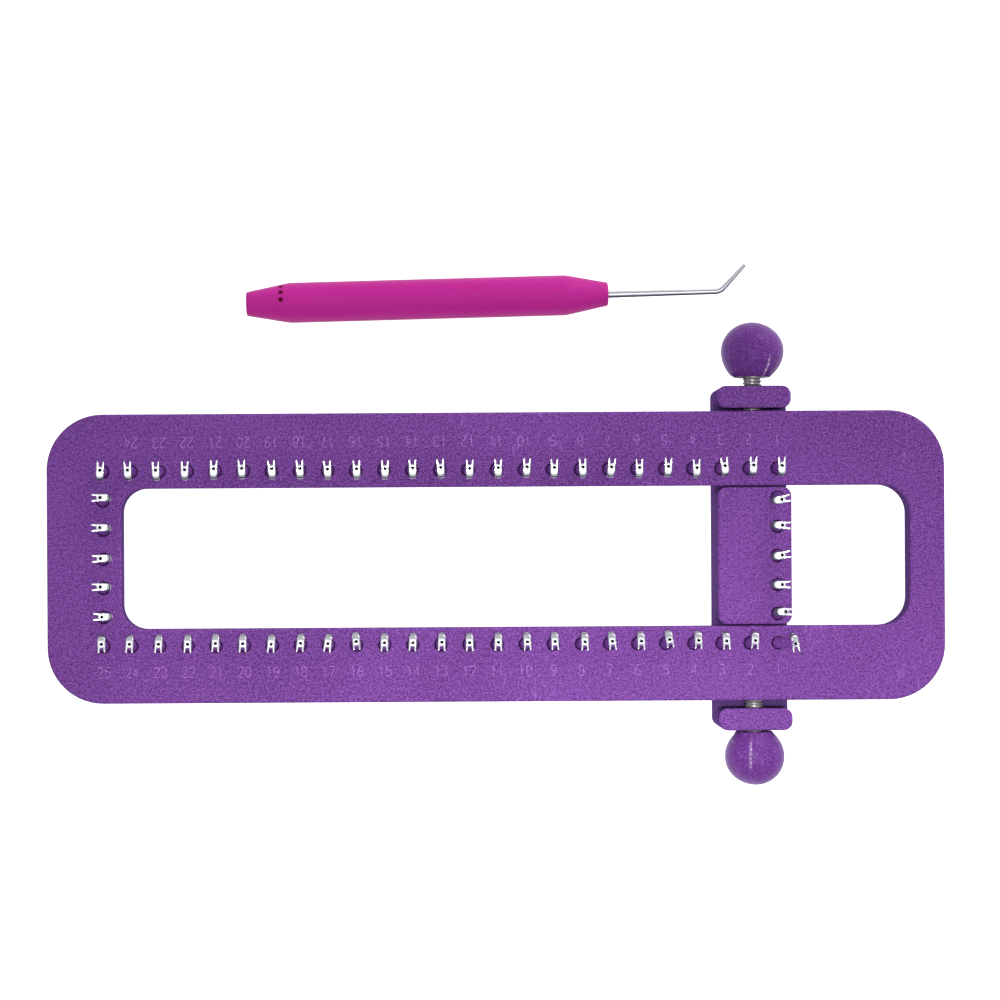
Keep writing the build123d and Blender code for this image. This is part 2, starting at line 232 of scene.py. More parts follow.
class Finish:
    """One procedural material, built on a Principled shader."""

    def __init__(self, name, **constants):
        self.material = bpy.data.materials.new(name)
        self.material.use_nodes = True
        self.tree = self.material.node_tree
        self.shader = self.tree.nodes["Principled BSDF"]
        for socket, value in constants.items():
            self.shader.inputs[socket.replace("_", " ")].default_value = value
        self.place = self.add("ShaderNodeTexCoord", {}, {}, "Object")

    def add(self, kind, settings, inputs, output=0):
        """A node of this kind, its settings set first, then its sockets' values or links."""
        node = self.tree.nodes.new(kind)
        for key, value in settings.items():
            setattr(node, key, value)
        for key, value in inputs.items():
            if isinstance(value, Sum):
                self.tree.links.new(value.socket, node.inputs[key])
            else:
                node.inputs[key].default_value = value
        return Sum(self, node.outputs[output])

    def noise(self, scale, detail=2.0, roughness=0.5, stretch=(1, 1, 1)):
        """Soft noise about 0.5, with scale features in a metre, stretched along the axes."""
        place = self.add("ShaderNodeMapping", {}, {"Vector": self.place, "Scale": stretch})
        inputs = {"Vector": place, "Scale": scale, "Detail": detail, "Roughness": roughness}
        return self.add("ShaderNodeTexNoise", {}, inputs)

    def ramp(self, value, low, high):
        """0 below low, 1 above high, and a smooth rise between."""
        inputs = {"Value": value, "From Min": low, "From Max": high}
        return self.add("ShaderNodeMapRange", {"interpolation_type": "SMOOTHSTEP"}, inputs)

    def blend(self, mask, first, second):
        """The first colour where the mask is 0, the second where it is 1."""
        node = self.tree.nodes.new("ShaderNodeMix")
        node.data_type = "RGBA"
        for key, value in ((0, mask), (6, first), (7, second)):
            if isinstance(value, Sum):
                self.tree.links.new(value.socket, node.inputs[key])
            else:
                node.inputs[key].default_value = value if key == 0 else (*value, 1.0)
        return Sum(self, node.outputs[2])

    def along(self, axis):
        """One coordinate of the place, in metres."""
        return self.add("ShaderNodeSeparateXYZ", {}, {0: self.place}, "XYZ".index(axis))

    def paint(self, **links):
        """Link sums to the shader's own sockets."""
        for socket, value in links.items():
            self.tree.links.new(value.socket, self.shader.inputs[socket.replace("_", " ")])

    def bump(self, height, distance, strength=1.0):
        """Tilt the normal by a height that varies over the surface, in metres at distance."""
        inputs = {"Height": height, "Distance": distance, "Strength": strength}
        self.paint(Normal=self.add("ShaderNodeBump", {}, inputs))


# %% [markdown]
# ## The speckled purple moulding
# Frame, slider, pegs and balls are moulded from a plastic filled with fine fibre or flour. It
# reads as two purples mixed at half a millimetre, with pale flecks where the filler shows and
# a few short scuffs from use. The side walls, just below the deck's level, carry painted
# shade: a deeper, bluer purple than the tops. One recipe serves all four, with its own depth
# of colour and grain for each, because they come from one batch but not one tool.

# %% Moulded plastic
def moulded(name, tint, contrast=0.4, gloss=0.1, rough=0.58, grain=0.00022, worn_to=None, wall_shade=None):
    """Tint is the middle colour. Speckle = two noises at 0.4 and 1 mm, ramped hard; a broad
    noise moves the tint a little over centimetres; flecks and scuffs are thresholds. Painted
    shade in a darker, bluer colour takes over on the side walls just below the deck's level."""
    finish = Finish(name, Specular_IOR_Level=gloss)
    fine = finish.noise(2600.0, 2.0, 0.6, (1.0, 0.7, 1.0))
    coarse = finish.noise(1000.0, 2.0, 0.5)
    broad = finish.noise(18.0, 2.0)
    speckle = fine * 0.72 + coarse * 0.28 + (broad - 0.5) * 0.12
    mask = finish.ramp(speckle, 0.38, 0.62)
    dark = tuple(channel * (1 - contrast) for channel in tint)
    light = tuple(channel * (1 + contrast * 1.1) for channel in tint)
    pale = tuple(min(1.0, channel * 1.9 + 0.05) for channel in tint)
    colour = finish.blend(mask, dark, light)
    flecks = finish.ramp(finish.noise(1700.0, 3.0, 0.75), 0.54, 0.66)
    colour = finish.blend(flecks * 0.85, colour, pale)
    # scuffs: thin bands where a stretched, skewed noise crosses its middle, in a few patches
    crossing = (finish.noise(260.0, 2.0, 0.5, (1.0, 0.35, 1.0)) - 0.5).size()
    patch = finish.ramp(finish.noise(45.0, 2.0), 0.52, 0.68)
    scuffs = (1.0 - finish.ramp(crossing, 0.002, 0.016)) * patch
    colour = finish.blend(scuffs * 0.45, colour, pale)
    # painted shade: below the deck's level the side walls take a darker, bluer colour
    if wall_shade:
        wall_shade_mask = 1.0 - finish.ramp(finish.along("Z"), DECK - 1.0 * MM, DECK - 0.4 * MM)
        colour = finish.blend(wall_shade_mask * (0.75 + mask * 0.2), colour, wall_shade)
    # an attribute moves the colour: painted shade in a peg's well, real wear on a ball's seam
    if worn_to:
        wear_and_shade = finish.add("ShaderNodeAttribute", {"attribute_name": "wear_and_shade"}, {}, 2)
        wear_and_shade = (wear_and_shade * (0.3 + finish.ramp(fine, 0.4, 0.6) * 1.2)).below(1.0)
        colour = finish.blend(wear_and_shade, colour, worn_to)
    finish.paint(Base_Color=colour, Roughness=rough + (coarse - 0.5) * 0.3)
    finish.bump(speckle, grain, 0.6)
    return finish.material


# rubbed faces are fully matt; a peg's well is painted near-black as shade, and a ball's seam wears to
# bright
# the speckled moulding's side walls are painted a darker, bluer purple as shade
SPECKLED = moulded("speckled_moulding", (0.140, 0.045, 0.222), 0.5, 0.0, wall_shade=(0.095, 0.048, 0.17))
# a lighter purple than the deck: a painted highlight on the witness rings
RING_HIGHLIGHT_PURPLE = moulded("ring_painted_highlight", (0.20, 0.07, 0.30), 0.3, 0.0)
# a near-black purple: painted shade sunk in the relief round each peg's foot
GAP_SHADE_PAINT = moulded("painted_gap_shade", (0.028, 0.006, 0.045), 0.3, 0.0)
NUMBER_PURPLE = moulded("number_plastic", (0.31, 0.12, 0.42), 0.2)
# the peg's well is painted near-black as shade
PEG_PURPLE = moulded("peg_plastic", (0.155, 0.045, 0.25), 0.3, rough=0.45, grain=0.0001,
                     worn_to=(0.004, 0.002, 0.006))
KNOB_PURPLE = moulded("knob_plastic", (0.110, 0.026, 0.185), 0.32, rough=0.38, grain=0.00012,
                      worn_to=(0.75, 0.6, 0.85))
plastics = (SPECKLED, RING_HIGHLIGHT_PURPLE, GAP_SHADE_PAINT, NUMBER_PURPLE, PEG_PURPLE, KNOB_PURPLE)
print("plastics:", [paint.name for paint in plastics])

# %% [markdown]
# ## Steels
# The clips are bright, pressed from thin strip and tumbled, so they are smooth with fine
# scratches; their skirts, rolled edges and eye rims carry painted shade. The screw threads are
# rolled and plated, with oxide in their roots and painted shade down their sides. The pick is
# drawn wire, with painted dark reflection bands along it. Each piece's own attribute, scale,
# says where this dark colour goes.

# %% Steel finishes
def steel(name, base, rough, scratch_scale, stretch=(1, 1, 1), stained=0.15):
    """Metal with fine scratches in roughness and bump, a thin uneven stain, and a dark colour
    without shine where the attribute scale says so: oxide in thread roots, and painted shade
    and painted reflection on the other steel pieces."""
    finish = Finish(name, Metallic=1.0, Specular_IOR_Level=0.0)
    scratches = finish.noise(scratch_scale, 4.0, 0.7, stretch)
    stains = finish.ramp(finish.noise(700.0, 3.0, 0.6), 0.5, 0.75) * stained
    colour = finish.blend(stains, base, (0.25, 0.24, 0.26))
    # scale: oxide in thread roots, painted shade on clips and rod sides, painted reflection bands on
    # the pick
    scale = finish.add("ShaderNodeAttribute", {"attribute_name": "scale"}, {}, 2)
    colour = finish.blend(scale * (0.8 + scratches * 0.3), colour, (0.03, 0.025, 0.06))
    finish.paint(Metallic=1.0 - scale)
    finish.paint(Base_Color=colour, Roughness=rough + (scratches - 0.5) * 0.2)
    finish.bump(scratches, 0.00002, 0.6)
    return finish.material


BRIGHT_STEEL = steel("bright_steel", (0.72, 0.71, 0.75), 0.17, 2600.0)
THREAD_STEEL = steel("thread_steel", (0.74, 0.72, 0.68), 0.24, 1500.0, stained=0.4)
PICK_STEEL = steel("pick_steel", (0.92, 0.91, 0.96), 0.18, 1800.0, (0.05, 1.0, 1.0), 0.1)
print("steels:", [metal.name for metal in (BRIGHT_STEEL, THREAD_STEEL, PICK_STEEL)])

# %% [markdown]
# ## The grip's plastic
# The pick's grip is one plain magenta, so all of its life is in small shifts: a cloudier tint
# along it, a finer one across it, and painted shade on its lower flanks and in its dimples.

# %% Magenta grip
def grip_finish():
    """Satin magenta plastic: a soft sheen with very fine moulded texture and faint marks. Its
    lower flanks and the bottoms of its dimples are painted darker as shade."""
    finish = Finish("handle_plastic", Specular_IOR_Level=0.1)
    fine = finish.noise(1600.0, 3.0, 0.6)
    broad = finish.noise(30.0, 3.0, 0.55, (0.3, 1.0, 1.0))
    colour = finish.blend(finish.ramp(broad, 0.3, 0.7), (0.45, 0.013, 0.235), (0.50, 0.018, 0.27))
    colour = finish.blend(finish.ramp(fine, 0.4, 0.75) * 0.2, colour, (0.60, 0.05, 0.37))
    # painted shade: darker towards the grip's underside
    side_shade = 1.0 - finish.ramp(finish.along("Z"), 3.0 * MM, 12.5 * MM)
    colour = finish.blend(side_shade * 0.75, colour, (0.20, 0.006, 0.09))
    # painted shade, darkest at the bottom of each dimple
    dimple = finish.add("ShaderNodeAttribute", {"attribute_name": "dimple"}, {}, 2)
    colour = finish.blend(dimple, colour, (0.15, 0.001, 0.02))
    finish.paint(Base_Color=colour, Roughness=0.5 + (fine - 0.5) * 0.14)
    finish.bump(fine, 0.00005, 0.5)
    return finish.material


GRIP = grip_finish()

# %% [markdown]
# ## A finish for every loaded node
# A word in a node's name tells what it is made of. The frame and the slider have none of these
# words, and keep the speckled plastic.

# %% Dress the loaded nodes
FINISHES = (("knob", KNOB_PURPLE), ("pegs", PEG_PURPLE), ("clips", BRIGHT_STEEL),
            ("rod", THREAD_STEEL), ("handle", GRIP), ("shaft", PICK_STEEL))
for node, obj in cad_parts.items():
    obj.data.materials.clear()
    obj.data.materials.append(next((paint for word, paint in FINISHES if word in node), SPECKLED))
print("finished nodes:", len(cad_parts))

# %% [markdown]
# ## Pegs
# A peg is turned by its mould: a plain taper with a rounded rim and a small well in its top,
# which shows as the black spot through the clip's eye. It is a profile spun about an axis,
# so one template serves every peg, and each copy leans a degree or two its own way, because
# pegs pressed in by hand never stand quite true.

# %% Spin a profile, and lean copies of it
def spin(profile, count=28):
    """Points of a turned shape: each profile point (radius, height) swept round a circle."""
    around = np.linspace(0, 2 * np.pi, count, endpoint=False)
    radius, height = profile[:, 0, None], profile[:, 1, None]
    return np.stack([radius * np.cos(around), radius * np.sin(around),
                     height + 0 * around], axis=-1)


def rounded(points, radius, steps=5):
    """A profile whose inner corners are replaced by arcs: each arc runs between the two points
    that stand the radius away from the corner, as a quadratic curve pulled to the corner."""
    points = np.asarray(points, dtype=float)
    out = [points[0]]
    share = np.linspace(0, 1, steps)[:, None]
    for before, corner, after in zip(points[:-2], points[1:-1], points[2:]):
        reach_in = min(radius, np.linalg.norm(before - corner) * 0.5)
        reach_out = min(radius, np.linalg.norm(after - corner) * 0.5)
        start = corner + (before - corner) / np.linalg.norm(before - corner) * reach_in
        end = corner + (after - corner) / np.linalg.norm(after - corner) * reach_out
        out.extend((1 - share) ** 2 * start + 2 * share * (1 - share) * corner + share ** 2 * end)
    out.append(points[-1])
    return np.array(out)


PEG_SOCKET = 0.6 * MM
PEG_TOP, PEG_RIM_ROUND = 1.45 * MM, 0.35 * MM
PEG_WELL, PEG_WELL_DEEP = 0.85 * MM, 2.2 * MM
PEG_PROFILE = rounded([
    (PEG_RADIUS, -PEG_SOCKET), (PEG_RADIUS, 0.0), (PEG_TOP, PEG_TALL), (PEG_WELL, PEG_TALL),
    (PEG_WELL * 0.8, PEG_TALL - PEG_WELL_DEEP),
], PEG_RIM_ROUND)
PEG = grid_shape(spin(PEG_PROFILE))
# the well is painted near-black as shade, through the peg's attribute: 3 drowns out the speckle
peg_well_shade = np.where(np.hypot(*PEG[0][:, :2].T) < PEG_WELL, 3.0, 0.0) * (PEG[0][:, 2] > 0)
rng = np.random.default_rng(25)
# each row leans its own way, mostly to the rear and towards +X, the way it was pressed in:
# degrees to the rear, degrees to the right, and degrees that the clip is turned
REARWARD = {"rear": 3.0, "front": 7.5, "left": 4.0, "slider": 2.0}
LEANS = {}
for pattern, _, outward, seats in PIN_GROUPS:
    mean = REARWARD[pattern.split("_")[0]]
    for place in range(len(seats)):
        tilts = (-rng.normal(mean, 1.2), rng.normal(1.5, 1.4), rng.normal(0.0, 3.0))
        LEANS[pattern, place] = tuple(math.radians(tilt) for tilt in tilts)
# the bent peg, and the slider's pegs and clips that stand or point their own way
BENT_PEG = ("front_{}_1_to_5", 4)
KNOCKED = {BENT_PEG: (0.0, 32.0, 8.0), ("slider_{}", 4): (6.0, 1.0, 12.0),
           ("slider_{}", 2): (-1.0, 0.5, 8.0), ("slider_{}", 0): (-6.0, 8.0, -3.0)}
for peg, tilts in KNOCKED.items():
    LEANS[peg] = tuple(math.radians(tilt) for tilt in tilts)


def lean(peg, share=1.0):
    """How one peg's axis is turned away from upright, or a share of that turn."""
    tilt_x, tilt_y, _ = LEANS[peg]
    return turn("y", tilt_y * share) @ turn("x", tilt_x * share)


for pattern, body, _, seats in PIN_GROUPS:
    pegs = [moved(PEG, lean((pattern, place)), seat) for place, seat in enumerate(seats)]
    node = pattern.format("pegs")
    turned = make_piece(f"{node}_turned", merge(*pegs), PEG_PURPLE, body, (node,))
    mark(turned, "wear_and_shade", np.tile(peg_well_shade, len(pegs)))

# %% [markdown]
# ## Clips
# Each clip is one blanked and pressed strip: a cap with a punched eye, a skirt that hugs the
# inner side of the peg, and two prongs that point out of the loom and hold the loop. The cap
# is a ring of metal round the eye, so it is a grid: round the eye one way, and along the
# sheet's section (eye, top, rolled edge, skirt, and back inside) the other way.

# %% Shape one clip
CLIP_HALF_WIDTH = 1.22 * MM
CLIP_BACK = 2.7 * MM           # peg's axis to the rounded inner end
CLIP_FRONT = 1.1 * MM          # peg's axis to the root of the notch
EYE_ALONG, EYE_ACROSS = 0.45 * MM, 0.55 * MM
SHEET = 0.32 * MM
ROLL_RADIUS = 0.34 * MM
SKIRT = 1.3 * MM
LIP = 0.6 * MM                 # how far the skirt's foot turns out
DROOP = 0.06 / MM              # fall of the inner half, by distance squared
PRONG_ROOT, PRONG_LONG = 0.1 * MM, 2.8 * MM
PRONG_APART, PRONG_SPLAY, PRONG_RISE = 0.86 * MM, 0.2 * MM, 0.35 * MM
PRONG_HALF, PRONG_TAPER, PRONG_THINNING = 0.42 * MM, 0.12 * MM, 0.03 * MM


def clip_cap(columns=44, steps=5):
    """The cap, and its painted shade: for each direction round the eye the sheet runs flat
    from the eye's ellipse to a superellipse outline, rolls over a quarter circle, and drops by
    a skirt that is deep at the inner end and fades out towards the notch. The section is that
    path offset both ways. The skirt carries painted shade down to its lip, which stays bright,
    and the eye's rim and the roll carry some too."""
    around = np.linspace(0, 2 * np.pi, columns, endpoint=False)
    cos, sin = np.cos(around), np.sin(around)
    eye = np.stack([EYE_ALONG * cos, EYE_ACROSS * sin], -1)
    middle, half = (CLIP_FRONT - CLIP_BACK) / 2, (CLIP_FRONT + CLIP_BACK) / 2
    # squarer towards the notch, rounder at the inner end
    power = np.where(cos > 0, 0.45, 0.8)
    outline = np.stack([
        middle + half * np.sign(cos) * np.abs(cos) ** power,
        CLIP_HALF_WIDTH * np.sign(sin) * np.abs(sin) ** 0.62,
    ], -1)
    away = outline - eye
    away /= np.linalg.norm(away, axis=1, keepdims=True)
    depth = SKIRT * np.clip(0.12 - 0.95 * cos, 0.1, 1.0)
    roll = ROLL_RADIUS
    share = np.linspace(0, 1, steps)
    # scale here is painted shade: 0.6 at the eye's rim, rising into the roll, 1 on the skirt and 0 at
    # its lip
    path, normal, scale = [], [], []
    for s in share:
        path.append(np.column_stack([eye + (outline - away * roll - eye) * s, 0 * cos]))
        normal.append(np.column_stack([0 * away, np.ones(columns)]))
        scale.append(0.6 * (s == 0))
    for s in share[1:] * np.pi / 2:
        edge = outline - away * roll * (1 - np.sin(s))
        path.append(np.column_stack([edge, np.full(columns, -roll * (1 - np.cos(s)))]))
        normal.append(np.column_stack([away * np.sin(s), np.full(columns, np.cos(s))]))
        scale.append(0.7 * math.sin(s) ** 6)
    for s in share[1:]:
        flare = outline + away * (LIP * s ** 2 * np.clip(-cos, 0, 1))[:, None]
        path.append(np.column_stack([flare, -roll - depth * s]))
        normal.append(np.column_stack([away, 0 * cos]))
        scale.append(1.0 if s < 1 else 0.0)
    path, normal = np.array(path), np.array(normal)
    # the inner half of the cap droops like a thimble's shoulder
    path[..., 2] -= DROOP * np.clip(-path[..., 0], 0, None) ** 2
    half_sheet = SHEET / 2
    outer, inner = path + normal * half_sheet, path - normal * half_sheet
    scale = np.repeat(np.array(scale + scale[::-1]), columns)
    return grid_shape(np.concatenate([outer, inner[::-1]]), closed=True), scale


def tube_along(path, across, thick, columns=12, power=0.7, up=(0.0, 0.0, 1.0)):
    """A bar along a path: at each point a superellipse of half-sizes across and thick stands
    square to the path's direction, with the given up direction nearest its thickness."""
    path = np.asarray(path, dtype=float)
    heading = np.gradient(path, axis=0)
    heading /= np.linalg.norm(heading, axis=1, keepdims=True)
    side = np.cross(np.broadcast_to(up, path.shape), heading)
    side /= np.linalg.norm(side, axis=1, keepdims=True)
    rise = np.cross(heading, side)
    around = np.linspace(0, 2 * np.pi, columns, endpoint=False)
    cos, sin = np.cos(around), np.sin(around)
    flat = np.sign(cos) * np.abs(cos) ** power
    tall = np.sign(sin) * np.abs(sin) ** power
    across, thick = np.broadcast_to(across, len(path)), np.broadcast_to(thick, len(path))
    return (path[:, None] + side[:, None] * (across[:, None] * flat)[..., None]
            + rise[:, None] * (thick[:, None] * tall)[..., None])


def clip_prong(side):
    """A prong: a flat bar that leaves the cap's shoulder, splays a little outward, rises, and
    tapers to a rounded tip. Its half-width follows the square root near the tip."""
    s = np.linspace(0, 1, 9)
    x = PRONG_ROOT + PRONG_LONG * s
    y = side * (PRONG_APART + PRONG_SPLAY * s ** 2)
    z = PRONG_RISE * s ** 1.5
    closing = np.sqrt(np.clip(1.0 - s ** 10, 0.03, 1.0))
    across = (PRONG_HALF - PRONG_TAPER * s) * closing
    thick = (SHEET / 2 - PRONG_THINNING * s) * closing
    return grid_shape(tube_along(np.column_stack([x, y, z]), across, thick))


# the bent peg's clip has slipped most of the way back to level
SLIPPED = {BENT_PEG: 0.25}
cap, cap_shade = clip_cap()
CLIP = merge(cap, clip_prong(1), clip_prong(-1))
# the cap's painted shade, padded with none for the prongs
clip_shade = np.pad(cap_shade, (0, len(CLIP[0]) - len(cap_shade)))
for pattern, body, outward, seats in PIN_GROUPS:
    clips = []
    for place, seat in enumerate(seats):
        peg = (pattern, place)
        top = seat + lean(peg) @ np.array([0.0, 0.0, PEG_TALL + SHEET / 2])
        aim = turn("z", math.radians(outward) + LEANS[peg][2])
        clips.append(moved(CLIP, lean(peg, SLIPPED.get(peg, 1.0)) @ aim, top))
    node = pattern.format("clips")
    pressed = make_piece(f"{node}_pressed", merge(*clips), BRIGHT_STEEL, body, (node,))
    mark(pressed, "scale", np.tile(clip_shade, len(clips)))

# %% [markdown]
# ## Rings round the pegs
# A faint raised ring stands round each peg where the mould's insert met the deck. It is a
# bead a few hundredths of a millimetre high, painted a lighter purple as a painted highlight
# where it catches the light. Closer in, a dark ring sunk in the relief round each foot is
# painted shade, thickest towards the front and -X.

# %% Rings, and painted shade round the feet
RING_RADIUS, RING_HALF, RING_RISE = 3.15 * MM, 0.14 * MM, 0.06 * MM
# the painted shade round each foot: a dark bead sunk in the relief, widest towards the front and -X
GAP_SHADE_RADIUS, GAP_SHADE_HALF, GAP_SHADE_RISE, GAP_SHADE_SUNK = 2.07 * MM, 0.2 * MM, 0.2 * MM, 0.25 * MM
GAP_SHADE_THICKEST = math.radians(220.0)
bead_turn = np.linspace(0, 2 * np.pi, 48, endpoint=False)
bead = np.linspace(0, 2 * np.pi, 6, endpoint=False)


def bead_ring(radius, half_width, rise, sunk=0.0):
    """A torus: an oval bead carried round a circle. The half-width is one value, or one for
    each angle round the circle."""
    reach = radius + np.outer(half_width * np.ones(len(bead_turn)), np.cos(bead))
    height = rise * np.sin(bead)[None, :] - sunk + 0 * reach
    x, y = reach * np.cos(bead_turn)[:, None], reach * np.sin(bead_turn)[:, None]
    return grid_shape(np.stack([x, y, height], -1), closed=True)


gap_shade_half = GAP_SHADE_HALF * (0.65 + 0.35 * np.cos(bead_turn - GAP_SHADE_THICKEST))
for name, shape, paint in (
    ("witness_rings", bead_ring(RING_RADIUS, RING_HALF, RING_RISE), RING_HIGHLIGHT_PURPLE),
    ("foot_gap_shade", bead_ring(GAP_SHADE_RADIUS, gap_shade_half, GAP_SHADE_RISE, GAP_SHADE_SUNK), GAP_SHADE_PAINT),
):
    for body in ("loom_frame", "slider"):
        copies = [
            moved(shape, np.eye(3), seat)
            for _, owner, _, seats in PIN_GROUPS if owner == body
            for seat in seats
        ]
        make_piece(f"{body}_{name}", merge(*copies), paint, body)

# %% [markdown]
# ## Numbers
# Each pin of the two long rows has its number beside it, upright on the front rail and
# turned round on the rear rail, so that it reads from either side. The strokes are thin
# half-round ridges. A digit is drawn on a grid one unit wide and two tall from straight
# strokes and arcs, and every stroke is carried into a bead in the same way as a prong.

# %% Draw the digits
def arc(x, y, rx, ry, start, end, steps=9):
    """Points of an ellipse's arc about (x, y), between two angles in degrees."""
    angle = np.radians(np.linspace(start, end, steps))
    return np.column_stack([x + rx * np.cos(angle), y + ry * np.sin(angle)])


def digit_strokes():
    """Each digit as strokes in a box from (0, 0) to (1, 2)."""
    line = np.array
    return {
        "0": [arc(0.5, 1.0, 0.5, 1.0, 90, 450, 17)],
        "1": [line([(0.2, 1.6), (0.55, 2.0)]), line([(0.55, 2.0), (0.55, 0.0)])],
        "2": [np.vstack([arc(0.5, 1.5, 0.5, 0.5, 160, -35), line([(0.0, 0.0)])]),
              line([(0.0, 0.0), (1.0, 0.0)])],
        "3": [arc(0.45, 1.5, 0.5, 0.5, 150, -80), arc(0.45, 0.5, 0.55, 0.5, 80, -150)],
        "4": [line([(0.75, 0.0), (0.75, 2.0)]), line([(0.75, 2.0), (0.0, 0.6)]),
              line([(0.0, 0.6), (1.0, 0.6)])],
        "5": [line([(0.95, 2.0), (0.15, 2.0)]), line([(0.15, 2.0), (0.08, 1.15)]),
              np.vstack([line([(0.08, 1.15)]), arc(0.4, 0.65, 0.6, 0.62, 110, -140)])],
        "6": [np.vstack([line([(0.85, 1.95)]), arc(0.75, 0.7, 0.75, 1.3, 115, 180, 6)]),
              arc(0.5, 0.55, 0.5, 0.55, 180, 540, 15)],
        "7": [line([(0.0, 2.0), (1.0, 2.0)]), line([(1.0, 2.0), (0.6, 1.0), (0.35, 0.0)])],
        "8": [arc(0.5, 1.52, 0.42, 0.48, 90, 450, 15), arc(0.5, 0.52, 0.5, 0.52, 90, 450, 15)],
        "9": [arc(0.5, 1.45, 0.5, 0.55, 0, 360, 15),
              np.vstack([arc(0.25, 1.3, 0.75, 1.3, 0, -65, 6), line([(0.15, 0.05)])])],
    }


DIGITS = digit_strokes()
DIGIT_HIGH, DIGIT_WIDE, DIGIT_STEP = 3.5 * MM, 1.75 * MM, 2.5 * MM
STROKE, STROKE_RISE = 0.17 * MM, 0.1 * MM


def number_shape(number):
    """A number's digits side by side about the origin, each stroke a low bead."""
    text = str(number)
    strokes = []
    for place, digit in enumerate(text):
        shift = (place - (len(text) - 1) / 2) * DIGIT_STEP - DIGIT_WIDE / 2
        for stroke in DIGITS[digit]:
            path = np.column_stack([
                stroke[:, 0] * DIGIT_WIDE + shift,
                stroke[:, 1] * DIGIT_HIGH / 2 - DIGIT_HIGH / 2,
                np.zeros(len(stroke)),
            ])
            strokes.append(grid_shape(tube_along(path, STROKE, STROKE_RISE, 6, 1.0)))
    return merge(*strokes)


def row_numbers(row, offset, last):
    """The numbers of one row up to the last that was cut, at their offset from the pegs and
    turned to face the nearer side."""
    seats = np.vstack([seats for pattern, _, _, seats in PIN_GROUPS if pattern.startswith(row)])
    seats = seats[np.argsort(-seats[:, 0])][:last]
    facing = turn("z", 0.0 if offset < 0 else math.pi)
    shift = np.array([0.0, offset, 0.0])
    return merge(*[moved(number_shape(n + 1), facing, seat + shift) for n, seat in enumerate(seats)])


# row, its pegs to the middle of its numbers, and its last number: the rear row has no 25
for row, offset, last in (("rear", 9.7 * MM, PINS_PER_ROW - 1), ("front", -8.9 * MM, PINS_PER_ROW)):
    make_piece(f"{row}_numbers", row_numbers(row, offset, last), NUMBER_PURPLE, "loom_frame")

# %% [markdown]
# ## Clamp screws
# The rod is rolled thread: its radius depends on how far along and how far round a point is,
# so crest and root wind round it as a helix. Near both ends the thread fades into a small
# chamfer.

# %% Threaded rods
THREAD_PITCH = 1.27 * MM
THREAD_DEPTH = 0.55 * MM


def thread_shape(low, high, columns=56, per_turn=12):
    """The rod's skin, and its dark colour: oxide left in its roots, and painted shade down its
    sides as seen from above. Radius = crest radius less a rounded triangle wave of the phase
    (height over pitch less angle over a turn), with the chamfer's radius where that is less."""
    radius = (high[0] - low[0]) / 2
    length = high[1] - low[1]
    along = np.linspace(0, length, int(length / THREAD_PITCH * per_turn))
    around = np.linspace(0, 2 * np.pi, columns, endpoint=False)
    phase = (along[:, None] / THREAD_PITCH - around[None, :] / (2 * np.pi)) % 1.0
    wave = np.abs(phase * 2 - 1)
    groove = THREAD_DEPTH * np.clip(1.25 * (1 - wave) - 0.1, 0, 1) ** 0.85
    end = np.minimum(along, length - along)[:, None]
    chamfer = radius - THREAD_DEPTH + end * 1.2
    skin = np.minimum(radius - groove, chamfer)
    middle = (np.array(low) + np.array(high)) / 2
    points = np.stack([middle[0] + skin * np.cos(around),
                       low[1] + along[:, None] + 0 * skin,
                       middle[2] + skin * np.sin(around)], axis=-1)
    # painted shade down the rod's two sides, seen from above; the roots' darkening is oxide
    side_shade = np.clip((np.abs(np.cos(around)) - 0.8) / 0.15, 0, 1)
    scale = np.maximum((groove / THREAD_DEPTH) ** 2 * 0.9, side_shade * 0.85)
    scale = np.append(scale.ravel(), [0.0, 0.0])
    return grid_shape(points), scale


for row in ("rear", "front"):
    node = f"{row}_threaded_rod"
    low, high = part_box(node)
    shape, scale = thread_shape(low, high)
    rod = make_piece(f"{row}_rolled_thread", shape, THREAD_STEEL, f"{row}_screw", (node,))
    mark(rod, "scale", scale)

# %% [markdown]
# ## Ball knobs
# The balls are moulded in two halves and trimmed by hand: a ridge is left where the halves
# met, the faces are a little out of round, and one ball has the shallow sink mark of a thick
# moulding that cooled slowly. All of that is a radius that varies with direction.

# %% Cast balls
LUMP, RIDGE, SINK = 0.008, 0.012, 0.03      # heights as shares of the radius
SEAM_HALF = 0.028                           # the ridge's half-width, as a share too


